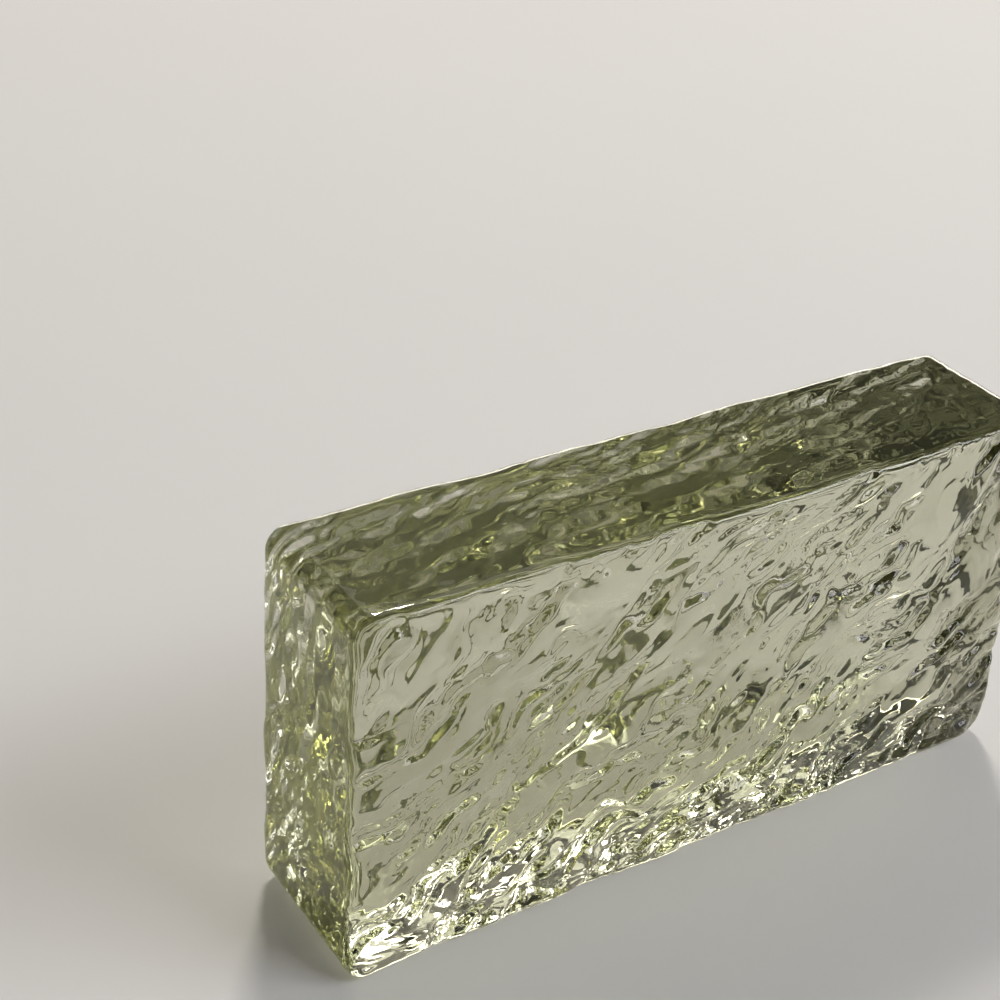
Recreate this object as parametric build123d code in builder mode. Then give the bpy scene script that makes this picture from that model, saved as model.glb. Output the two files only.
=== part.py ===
from build123d import *
import os
from math import ceil, cos, pi, radians, sin

# Solid cast glass block, in mm, standing on one of its two long narrow sides.
# The origin is at the middle of its footprint: X runs along the length, Y through
# the thickness from the front face to the back face, and Z up.

LENGTH = 200.0
THICKNESS = 45.0
HEIGHT = 100.0

# The outline of the large faces has round corners, and a smaller round softens
# the edges where the large faces meet the four narrow sides.
CORNER_RADIUS = 6.0
EDGE_RADIUS = 2.5

# The mould leaves slanted ripples all over both large faces, like running water.
# Their crests reach the full thickness of the block, and they run out through the
# rounded edges, which they leave gently scalloped.
WAVE_DEPTH = 1.4
WAVE_SPACING = 24.0
WAVE_SLANT = 32.0
WAVE_WANDER = 3.0
WANDER_RUN = 60.0
SWELL_RUN = 42.0
SWELL_SHARE = 0.5

# The two faces come from different mould halves, so their ripples differ.
FRONT_PHASE = 0.0
BACK_PHASE = 2.1

# The rounded edges start this far outside the crests.
EDGE_STAND = 0.2

# Each ripple is laid out with this many points from crest to crest.
POINTS_PER_WAVE = 5


def wave_level(x, z, phase):
    """Level of the ripples at a point of a large face: 0 in a trough, 1 on a crest."""
    slant = radians(WAVE_SLANT)
    along = x * cos(slant) + z * sin(slant)
    across = z * cos(slant) - x * sin(slant)
    wander = WAVE_WANDER * sin(2 * pi * along / WANDER_RUN + phase)
    ripple = sin(2 * pi * (across + wander) / WAVE_SPACING + phase)
    swell = sin(2 * pi * (along + across) / SWELL_RUN + 2 * phase)
    return (1 + (1 - SWELL_SHARE) * ripple + SWELL_SHARE * swell) / 2


def rippled_face(side, phase):
    """The surface of one large face, reaching a little past the block all round."""
    reach = EDGE_RADIUS
    x_steps = ceil(LENGTH / WAVE_SPACING * POINTS_PER_WAVE)
    z_steps = ceil(HEIGHT / WAVE_SPACING * POINTS_PER_WAVE)
    rows = []
    for i in range(x_steps + 1):
        x = (LENGTH + 2 * reach) * (i / x_steps - 1 / 2)
        row = []
        for j in range(z_steps + 1):
            z = (HEIGHT + 2 * reach) * j / z_steps - reach
            trough = WAVE_DEPTH * (1 - wave_level(x, z, phase))
            row.append((x, side * (THICKNESS / 2 - trough), z))
        rows.append(row)
    return Face.make_surface_from_array_of_points(rows, tol=WAVE_DEPTH / 40, min_deg=3, max_deg=3)


with BuildPart() as glass_block:
    with BuildSketch(Plane.XZ):
        with Locations((0, HEIGHT / 2)):
            RectangleRounded(LENGTH, HEIGHT, CORNER_RADIUS)
    extrude(amount=THICKNESS / 2 + EDGE_STAND, both=True)
    large_faces = glass_block.faces().filter_by(Axis.Y)
    fillet(large_faces.edges(), EDGE_RADIUS)
    for side, phase in ((-1, FRONT_PHASE), (1, BACK_PHASE)):
        cut_depth = 2 * (WAVE_DEPTH + EDGE_STAND)
        extrude(rippled_face(side, phase), amount=cut_depth, dir=(0, side, 0), mode=Mode.SUBTRACT)

glass_block.part.label = "glass_block"
glass_block.part.color = Color(0.62, 0.70, 0.60)
os.makedirs("parts", exist_ok=True)
export_step(glass_block.part, "parts/glass_block.step")
print("glass_block volume, cubic cm:", round(glass_block.part.volume / 1000, 1))
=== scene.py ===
from math import cos, log, pi, radians, sin

import bpy
from mathutils import Matrix, Vector


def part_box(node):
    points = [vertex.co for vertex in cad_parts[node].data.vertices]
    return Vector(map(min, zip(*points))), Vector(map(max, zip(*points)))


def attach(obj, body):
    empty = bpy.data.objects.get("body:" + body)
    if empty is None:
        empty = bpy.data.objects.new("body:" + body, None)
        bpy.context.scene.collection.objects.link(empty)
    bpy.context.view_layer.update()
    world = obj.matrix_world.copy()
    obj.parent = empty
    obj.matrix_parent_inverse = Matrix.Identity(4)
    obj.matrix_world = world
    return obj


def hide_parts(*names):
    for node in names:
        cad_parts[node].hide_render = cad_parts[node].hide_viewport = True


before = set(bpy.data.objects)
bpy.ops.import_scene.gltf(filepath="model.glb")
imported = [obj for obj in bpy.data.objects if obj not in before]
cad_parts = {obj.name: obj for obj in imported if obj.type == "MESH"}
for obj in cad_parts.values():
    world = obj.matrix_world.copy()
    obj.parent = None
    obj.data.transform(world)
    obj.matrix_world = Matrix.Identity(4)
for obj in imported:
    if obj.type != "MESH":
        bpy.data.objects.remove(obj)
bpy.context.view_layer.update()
MM = 0.001

# The glass block's sizes come from the frame. Its rounds are the ones that the solid has.
block_low, block_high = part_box("glass_block")
LENGTH = block_high.x - block_low.x
THICKNESS = block_high.y - block_low.y
HEIGHT = block_high.z - block_low.z
CORNER_RADIUS = 6.0 * MM
EDGE_RADIUS = 2.5 * MM

# Spacing of the block's own mesh on the large faces, and across the narrow sides
FACE_GRID = 0.82 * MM
SIDE_GRID = 1.25 * MM

# The mould's broad ripples, the same as on the solid: sizes in mm, slant in degrees, and
# one phase for each large face
WAVE_DEPTH = 1.4
WAVE_SPACING = 24.0
WAVE_SLANT = 32.0
WAVE_WANDER = 3.0
WANDER_RUN = 60.0
SWELL_RUN = 42.0
SWELL_SHARE = 0.5
FRONT_PHASE = 0.0
BACK_PHASE = 2.1

# The finer relief on the ripples, all in mm, and always cut inwards: smooth flame-shaped
# tongues stand between hollows, and chips and specks roughen the hollows' floors
HOLLOW_DEPTH, HOLLOW_LENGTH, HOLLOW_WIDTH = 0.95, 28.0, 9.5
CHIP_DEPTH, CHIP_LENGTH, CHIP_WIDTH = 0.65, 5.5, 3.0
SPECK_DEPTH, SPECK_SIZE = 0.22, 2.3

# Where the noise that shapes the hollows passes from tongue to hollow, and how much of the
# chips and specks is left on the tongues
TONGUE_NOISE, HOLLOW_NOISE = 0.46, 0.60
TONGUE_ROUGHNESS = 0.06

# How fast a chip rises from its middle, and how soft the ridges between chips are
CHIP_RISE = 1.9
CHIP_SOFTNESS = 0.15

# Slow and quick wanders bend the flow of the hollows: their grain in mm, how far they shift
# the flow in mm, and the shares of that shift that two of them take
FLOW_WANDER = 12.0
SLOW_GRAIN, QUICK_GRAIN, CROSS_GRAIN = 55.0, 15.0, 13.0
SLOW_SHARE, CROSS_SHARE = 2.5, 0.8

# The places in the noise that each layer reads, far enough apart that none repeats another
FACE_SHIFT = 300.0
CROSS_SHIFT = 50.0
SLOW_LAYER, CHIP_LAYER, FLAME_LAYER, WANDER_LAYER, SPECK_LAYER = 0.0, 0.0, 3.0, 7.0, 29.0

# The finer relief dies down to this share over this many mm next to the rounded edges
RIM_SHARE, RIM_WIDTH = 0.35, 3.5

# The narrow sides carry only shallow drawn streaks that run round the outline, in mm
STREAK_DEPTH, STREAK_LENGTH, STREAK_WIDTH = 0.45, 12.0, 3.4

# Chatter of the glass's skin, in mm, too fine for the mesh: how deep and how wide, and how
# much of it the narrow sides and the smooth tongues carry
CHATTER_DEPTH, CHATTER_GRAIN = 0.15, 2.4
FINE_DEPTH, FINE_GRAIN = 0.03, 0.8
SIDE_CHATTER = 0.05
TONGUE_CHATTER = 0.05

# Glass: what is left of red, green and blue light after 100 mm of it
GLASS_IOR = 1.52
LEFT_AFTER_100_MM = (0.45, 0.46, 0.28)

# The table top: its colour, how much of it the darker clouds keep, how many clouds there
# are to a metre, and its reach each way and its gap under the block, in m
FLOOR_COLOUR = (0.84, 0.83, 0.82)
FLOOR_DARKER = 0.97
FLOOR_CLOUDS = 6.0
FLOOR_REACH, FLOOR_GAP = 6.0, 0.0001

# Lamps: azimuth from +X towards +Y, elevation in degrees, distance in m, width and height in
# m, watts and colour. The direction in which the top side mirrors the camera, azimuth 40 to
# 60 and elevation 20 to 38, stays free of them.
LAMPS = {
    "key_back": (60, 50, 3.0, (0.45, 0.45), 32.0, (1.0, 0.95, 0.86)),
    "glow_back": (58, 52, 3.0, (2.0, 1.3), 8.0, (1.0, 0.97, 0.86)),
    "window_low": (40, 8, 8.0, (13.0, 2.2), 460.0, (1.0, 0.94, 0.82)),
    "key_front": (-45, 42, 3.0, (2.0, 0.9), 40.0, (0.95, 0.96, 1.0)),
    "panel_front": (-50, 4.5, 8.0, (10.0, 1.1), 180.0, (0.92, 0.90, 1.0)),
}
LAMP_AIM_HEIGHT = 0.05

# The room: a low band all round and a higher wall behind, as levels between its dim and its
# pale colour. Each fade is a start and an end along a direction's X, Y or Z.
ROOM_DIM = (0.04, 0.04, 0.045)
ROOM_PALE = (0.30, 0.28, 0.25)
BAND_FADE = (0.06, 0.14)
BAND_LEVEL = 0.7
WALL_TOP_FADE = (0.55, 0.80)
WALL_FRONT_FADE = (-0.1, 0.45)
WALL_RIGHT_FADE = (0.25, 0.60)
WALL_LEVEL, WALL_LEFT_EXTRA = 0.25, 1.4

# The camera: its place in m, the degrees that it is turned, its lens and sensor in mm
CAMERA_PLACE = (-0.25877, -0.30193, 0.32565)
CAMERA_HEADING, CAMERA_PITCH, CAMERA_ROLL = 34.40, 31.05, 3.97
CAMERA_LENS, CAMERA_SENSOR = 69.8, 36.0

# Light is followed through this many faces of the glass
LIGHT_BOUNCES = 20

# A length in m that keeps a division away from 0
TINY = 1e-9

# The numbers of the Mix node's colour sockets, whose names are shared with others
MIX_FIRST, MIX_SECOND, MIX_RESULT = 6, 7, 2


class Field:
    """A node socket that can be added, multiplied and so on, so that a rule reads as a formula."""

    def __init__(self, tree, socket):
        self.tree = tree
        self.socket = socket

    def math(self, operation, *others):
        node = self.tree.nodes.new("ShaderNodeMath")
        node.operation = operation
        for socket, value in zip(node.inputs, (self, *others)):
            plug(self.tree, socket, value)
        return Field(self.tree, node.outputs[0])

    def __add__(self, other):
        return self.math("ADD", other)

    def __sub__(self, other):
        return self.math("SUBTRACT", other)

    def __mul__(self, other):
        return self.math("MULTIPLY", other)

    def __truediv__(self, other):
        return self.math("DIVIDE", other)

    __radd__ = __add__
    __rmul__ = __mul__

    def __rsub__(self, other):
        return (self * -1.0).math("ADD", other)

    def abs(self):
        return self.math("ABSOLUTE")

    def sign(self):
        return self.math("SIGN")

    def root(self):
        return self.math("SQRT")

    def sine(self):
        return self.math("SINE")

    def at_least(self, other):
        return self.math("MAXIMUM", other)

    def at_most(self, other):
        return self.math("MINIMUM", other)

    def above(self, other):
        """1 where this field is above the other, 0 elsewhere."""
        return self.math("GREATER_THAN", other)

    def eased(self, start, end):
        """0 where this field is below start, 1 above end, and an eased rise between them."""
        node = add_node(self.tree, "ShaderNodeMapRange",
                        {"Value": self, "From Min": start, "From Max": end},
                        interpolation_type="SMOOTHSTEP")
        return Field(self.tree, node.outputs[0])


def plug(tree, socket, value):
    """Links a field or a socket to an input, or sets the input to a plain value."""
    if isinstance(value, Field):
        value = value.socket
    if isinstance(value, bpy.types.NodeSocket):
        tree.links.new(value, socket)
    else:
        socket.default_value = value


def add_node(tree, kind, values=None, **settings):
    """A new node with its settings, and its inputs linked or set by name or number."""
    node = tree.nodes.new(kind)
    for name, value in settings.items():
        setattr(node, name, value)
    for key, value in (values or {}).items():
        plug(tree, node.inputs[key], value)
    return node


def split(tree, vector):
    """The X, Y and Z fields of a vector."""
    node = add_node(tree, "ShaderNodeSeparateXYZ", {0: vector})
    return [Field(tree, out) for out in node.outputs]


def join(tree, x, y, z):
    """The vector of three fields or numbers."""
    return add_node(tree, "ShaderNodeCombineXYZ", {0: x, 1: y, 2: z}).outputs[0]


def noise(tree, x, y, z, detail, roughness=0.5):
    """Smooth noise from 0 to 1, one unit across."""
    node = add_node(tree, "ShaderNodeTexNoise", {
        "Vector": join(tree, x, y, z), "Scale": 1.0, "Detail": detail, "Roughness": roughness})
    return Field(tree, node.outputs[0])


def chips(tree, x, y):
    """An uneven pattern of chips: 1 in the middle of each, falling to 0 at the ridges round it."""
    node = add_node(tree, "ShaderNodeTexVoronoi",
                    {"Vector": join(tree, x, y, CHIP_LAYER), "Scale": 1.0, "Smoothness": CHIP_SOFTNESS},
                    feature="SMOOTH_F1", voronoi_dimensions="2D")
    out = Field(tree, node.outputs["Distance"])
    return 1.0 - (out * out * CHIP_RISE).at_most(1.0)


def mix_colours(tree, share, first, second):
    """The first colour where share is 0, the second where it is 1, and their mix between."""
    node = add_node(tree, "ShaderNodeMix",
                    {"Factor": share, MIX_FIRST: (*first, 1.0), MIX_SECOND: (*second, 1.0)},
                    data_type="RGBA")
    return node.outputs[MIX_RESULT]


def ripples(along, across, side):
    """The broad ripples of the solid at a point of a large face: 0 on a crest, 1 in a trough."""
    phase = (1.0 + side) * ((BACK_PHASE - FRONT_PHASE) / 2) + FRONT_PHASE
    wander = (along * (2 * pi / WANDER_RUN) + phase).sine() * WAVE_WANDER
    ripple = ((across + wander) * (2 * pi / WAVE_SPACING) + phase).sine()
    swell = ((along + across) * (2 * pi / SWELL_RUN) + 2 * phase).sine()
    return (1.0 - (1 - SWELL_SHARE) * ripple - SWELL_SHARE * swell) / 2.0


def face_relief(tree, x, z, side, inset):
    """Depth, in mm, of the cast relief at a point of a large face, and how far the point is
    into a rough hollow, 0 to 1. It takes x and z in mm, with z from the underside, the side,
    -1 in front and 1 behind, and the distance in from the outline in mm."""
    slant = radians(WAVE_SLANT)
    along = x * cos(slant) + z * sin(slant)
    across = z * cos(slant) - x * sin(slant)
    trough = ripples(along, across, side)

    # hollows along the same flow, bent by the wanders, so that no two run alike
    face = side * FACE_SHIFT
    slow = noise(tree, x / SLOW_GRAIN + face, z / SLOW_GRAIN, SLOW_LAYER, detail=0.0) - 0.5
    quick = noise(tree, x / QUICK_GRAIN + face, z / QUICK_GRAIN, WANDER_LAYER, detail=1.0) - 0.5
    cross = noise(tree, x / CROSS_GRAIN + face + CROSS_SHIFT, z / CROSS_GRAIN, WANDER_LAYER,
                  detail=1.0) - 0.5
    along = along + quick * FLOW_WANDER
    across = across + slow * (SLOW_SHARE * FLOW_WANDER) + cross * (CROSS_SHARE * FLOW_WANDER)
    flame = noise(tree, along / HOLLOW_LENGTH + face, across / HOLLOW_WIDTH, FLAME_LAYER,
                  detail=2.0, roughness=0.55)
    hollow = flame.eased(TONGUE_NOISE, HOLLOW_NOISE)

    # the rough floors of the hollows
    chip = chips(tree, along / CHIP_LENGTH + face, across / CHIP_WIDTH)
    speck = noise(tree, x / SPECK_SIZE + face, z / SPECK_SIZE, SPECK_LAYER, detail=1.0)
    rough = chip * CHIP_DEPTH + speck * SPECK_DEPTH
    fine = hollow * HOLLOW_DEPTH + rough * (hollow * (1 - TONGUE_ROUGHNESS) + TONGUE_ROUGHNESS)
    rim = RIM_SHARE + inset.eased(0.0, RIM_WIDTH) * (1 - RIM_SHARE)
    return trough * WAVE_DEPTH + fine * rim, hollow


def block_tree():
    """The Geometry Nodes tree that makes the whole block: a rounded box with the cast relief in it."""
    tree = bpy.data.node_groups.new("cast_glass_block", "GeometryNodeTree")
    sizes = ("Length", "Thickness", "Height", "Corner Radius", "Edge Radius")
    for name in sizes:
        tree.interface.new_socket(name, in_out="INPUT", socket_type="NodeSocketFloat")
    for name in ("Steps Along", "Steps Through", "Steps Up"):
        tree.interface.new_socket(name, in_out="INPUT", socket_type="NodeSocketInt")
    tree.interface.new_socket("Glass", in_out="INPUT", socket_type="NodeSocketMaterial")
    tree.interface.new_socket("Geometry", in_out="OUTPUT", socket_type="NodeSocketGeometry")
    given = add_node(tree, "NodeGroupInput").outputs
    length, thickness, height, corner, edge = (Field(tree, given[name]) for name in sizes)
    half_length, half_thickness, half_height = length / 2.0, thickness / 2.0, height / 2.0

    grid = add_node(tree, "GeometryNodeMeshCube", {
        "Size": join(tree, length, thickness, height), "Vertices X": given["Steps Along"],
        "Vertices Y": given["Steps Through"], "Vertices Z": given["Steps Up"]})
    x, y, z = split(tree, add_node(tree, "GeometryNodeInputPosition").outputs[0])

    # how far a point is past the middles of the round corners, in a square and in a round way
    core_x, core_z = half_length - corner, half_height - corner
    past_x = (x.abs() - core_x).at_least(0.0)
    past_z = (z.abs() - core_z).at_least(0.0)
    level = past_x.at_least(past_z)
    reach = (past_x * past_x + past_z * past_z).root().at_least(TINY)

    # the edge round between a large face and the sides
    over = (level - corner + edge).at_least(0.0)
    deep = (y.abs() - half_thickness + edge).at_least(0.0)
    span = (over * over + deep * deep).root().at_least(TINY)
    round_over, round_deep = over / span * edge, deep / span * edge
    rounded = over.above(0.0) * deep.above(0.0)
    new_over = over + (round_over - over) * rounded
    new_deep = deep + (round_deep - deep) * rounded

    # streaks drawn round the sides
    streak = noise(tree, (x + z) / (STREAK_LENGTH * MM), y / (STREAK_WIDTH * MM),
                   (x - z) / (STREAK_LENGTH * MM), detail=2.0)
    on_side = new_over / edge
    new_level = level - over + new_over - streak * (STREAK_DEPTH * MM) * on_side * on_side

    new_x = x.sign() * (x.abs().at_most(core_x) + past_x / reach * new_level)
    new_z = z.sign() * (z.abs().at_most(core_z) + past_z / reach * new_level)
    flat_y = y.abs() - deep + new_deep

    # the large faces' relief draws the whole section in, from nothing at the middle to its
    # full depth at the face
    inset = (corner - level) / MM
    relief, hollow = face_relief(tree, new_x / MM, (new_z + half_height) / MM, y.sign(), inset)
    new_y = y.sign() * flat_y * (1.0 - relief * MM / half_thickness)

    # the skin's chatter is strong in the hollows and weak on the narrow sides
    chatter = hollow * (1.0 - on_side).at_least(0.0) + on_side * SIDE_CHATTER
    marked = add_node(tree, "GeometryNodeStoreNamedAttribute",
                      {"Geometry": grid.outputs["Mesh"], "Name": "hollow", "Value": chatter})
    place = join(tree, new_x, new_y, new_z + half_height)
    moved = add_node(tree, "GeometryNodeSetPosition", {"Geometry": marked.outputs[0], "Position": place})
    whole = add_node(tree, "GeometryNodeRealizeInstances", {"Geometry": moved.outputs[0]})
    smooth = add_node(tree, "GeometryNodeSetShadeSmooth", {"Geometry": whole.outputs[0]})
    glazed = add_node(tree, "GeometryNodeSetMaterial",
                      {"Geometry": smooth.outputs[0], "Material": given["Glass"]})
    add_node(tree, "NodeGroupOutput", {"Geometry": glazed.outputs[0]})
    return tree


def new_material(name):
    """An empty material, its node tree and the point being shaded, as X, Y and Z in m."""
    material = bpy.data.materials.new(name)
    material.use_nodes = True
    tree = material.node_tree
    tree.nodes.clear()
    return material, tree, split(tree, add_node(tree, "ShaderNodeTexCoord").outputs["Object"])


def cast_glass():
    """Clear grey-green glass: colour from its depth, sparkle from fine chatter in its skin."""
    material, tree, (x, y, z) = new_material("green_grey_glass")
    hollow = Field(tree, add_node(tree, "ShaderNodeAttribute", attribute_name="hollow").outputs["Fac"])
    chatter, fine = (noise(tree, x / (grain * MM), y / (grain * MM), z / (grain * MM), detail=1.0)
                     for grain in (CHATTER_GRAIN, FINE_GRAIN))
    share = hollow * (1 - TONGUE_CHATTER) + TONGUE_CHATTER
    height = (chatter * CHATTER_DEPTH + fine * FINE_DEPTH) * share
    bump = add_node(tree, "ShaderNodeBump", {"Height": height, "Distance": MM, "Strength": 1.0})
    glass = add_node(tree, "ShaderNodeBsdfPrincipled", {
        "Base Color": (1.0, 1.0, 1.0, 1.0), "Roughness": 0.0, "IOR": GLASS_IOR,
        "Transmission Weight": 1.0, "Normal": bump.outputs[0]})

    # the volume node lets through exp(-density x (1 - colour) x distance), and the light that
    # is absorbed most takes nearly all of the density
    absorbed = [-log(left) / (100 * MM) for left in LEFT_AFTER_100_MM]
    nearly_all = 0.95
    density = max(absorbed) / nearly_all
    colour = [1 - a / density for a in absorbed]
    depth = add_node(tree, "ShaderNodeVolumeAbsorption", {"Color": (*colour, 1.0), "Density": density})
    add_node(tree, "ShaderNodeOutputMaterial", {"Surface": glass.outputs[0], "Volume": depth.outputs[0]})
    return material


def make_block(glass):
    """The glass block as a plain mesh made by its tree."""
    tree = block_tree()
    carrier = bpy.data.objects.new("block_maker", bpy.data.meshes.new("block_maker"))
    bpy.context.scene.collection.objects.link(carrier)
    modifier = carrier.modifiers.new("cast", "NODES")
    modifier.node_group = tree
    given = {
        "Length": LENGTH, "Thickness": THICKNESS, "Height": HEIGHT,
        "Corner Radius": CORNER_RADIUS, "Edge Radius": EDGE_RADIUS,
        "Steps Along": round(LENGTH / FACE_GRID) + 1,
        "Steps Through": round(THICKNESS / SIDE_GRID) + 1,
        "Steps Up": round(HEIGHT / FACE_GRID) + 1,
        "Glass": glass,
    }
    for item in tree.interface.items_tree:
        if item.in_out == "INPUT":
            modifier[item.identifier] = given[item.name]
    made = carrier.evaluated_get(bpy.context.evaluated_depsgraph_get())
    mesh = bpy.data.meshes.new_from_object(made)
    bpy.data.objects.remove(carrier)
    mesh.name = "cast_block"
    block = bpy.data.objects.new("cast_block", mesh)
    bpy.context.scene.collection.objects.link(block)
    return block


def pale_table():
    """The floor's plain matte surface, with faint clouds."""
    material, tree, (x, y, z) = new_material("pale_table")
    cloud = noise(tree, x * FLOOR_CLOUDS, y * FLOOR_CLOUDS, z * FLOOR_CLOUDS, detail=3.0)
    darker = [c * FLOOR_DARKER for c in FLOOR_COLOUR]
    skin = add_node(tree, "ShaderNodeBsdfPrincipled", {
        "Base Color": mix_colours(tree, cloud, darker, FLOOR_COLOUR), "Roughness": 0.6,
        "Specular IOR Level": 0.0})
    add_node(tree, "ShaderNodeOutputMaterial", {"Surface": skin.outputs[0]})
    return material


def make_floor():
    """A pale table top, a hair below the block's flat underside."""
    corners = [(x * FLOOR_REACH, y * FLOOR_REACH, -FLOOR_GAP)
               for x, y in ((-1, -1), (1, -1), (1, 1), (-1, 1))]
    mesh = bpy.data.meshes.new("floor")
    mesh.from_pydata(corners, [], [(0, 1, 2, 3)])
    floor = bpy.data.objects.new("floor", mesh)
    bpy.context.scene.collection.objects.link(floor)
    mesh.materials.append(pale_table())


def softbox(name, azimuth, elevation, distance, size, watts, colour):
    """A rectangular area lamp that looks at the block and is itself out of the picture."""
    light = bpy.data.lights.new(name, "AREA")
    light.shape = "RECTANGLE"
    light.size, light.size_y = size
    light.energy = watts
    light.color = colour
    a, e = radians(azimuth), radians(elevation)
    place = Vector((distance * cos(e) * cos(a), distance * cos(e) * sin(a),
                    distance * sin(e) + LAMP_AIM_HEIGHT))
    aim = Vector((0.0, 0.0, LAMP_AIM_HEIGHT))
    lamp = bpy.data.objects.new(name, light)
    lamp.location = place
    lamp.rotation_euler = (aim - place).to_track_quat("-Z", "Y").to_euler()
    lamp.visible_camera = False
    bpy.context.scene.collection.objects.link(lamp)


def make_world():
    """A pale band low down all round and a wall behind the block; dim overhead and in front."""
    world = bpy.data.worlds.new("studio")
    bpy.context.scene.world = world
    world.use_nodes = True
    tree = world.node_tree
    tree.nodes.clear()
    x, y, z = split(tree, add_node(tree, "ShaderNodeTexCoord").outputs["Generated"])
    band = 1.0 - z.eased(*BAND_FADE)
    wall = (1.0 - z.eased(*WALL_TOP_FADE)) * y.eased(*WALL_FRONT_FADE)
    left = 1.0 - x.eased(*WALL_RIGHT_FADE)
    level = (band * BAND_LEVEL).at_least(wall * (left * WALL_LEFT_EXTRA + WALL_LEVEL))
    tone = mix_colours(tree, level, ROOM_DIM, ROOM_PALE)
    room = add_node(tree, "ShaderNodeBackground", {"Color": tone, "Strength": 1.0})
    add_node(tree, "ShaderNodeOutputWorld", {"Surface": room.outputs[0]})


def make_camera():
    """The photograph's view."""
    heading, pitch, roll = radians(CAMERA_HEADING), radians(CAMERA_PITCH), radians(CAMERA_ROLL)
    ahead = Vector((sin(heading) * cos(pitch), cos(heading) * cos(pitch), -sin(pitch)))
    level_right = Vector((cos(heading), -sin(heading), 0.0))
    level_up = level_right.cross(ahead)
    right = level_right * cos(roll) + level_up * sin(roll)
    up = level_up * cos(roll) - level_right * sin(roll)
    camera = bpy.data.cameras.new("camera")
    camera.sensor_width = CAMERA_SENSOR
    camera.lens = CAMERA_LENS
    camera.clip_start = 0.01
    eye = bpy.data.objects.new("camera", camera)
    turn = Matrix((right, up, -ahead)).transposed()
    eye.matrix_world = Matrix.Translation(CAMERA_PLACE) @ turn.to_4x4()
    bpy.context.scene.collection.objects.link(eye)
    bpy.context.scene.camera = eye


make_camera()
make_world()
for name, lamp in LAMPS.items():
    softbox(name, *lamp)
make_floor()

block = make_block(cast_glass())
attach(block, "root")
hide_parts("glass_block")

scene = bpy.context.scene
scene.view_settings.view_transform = "Standard"
scene.cycles.max_bounces = LIGHT_BOUNCES
scene.cycles.glossy_bounces = LIGHT_BOUNCES
scene.cycles.transmission_bounces = LIGHT_BOUNCES
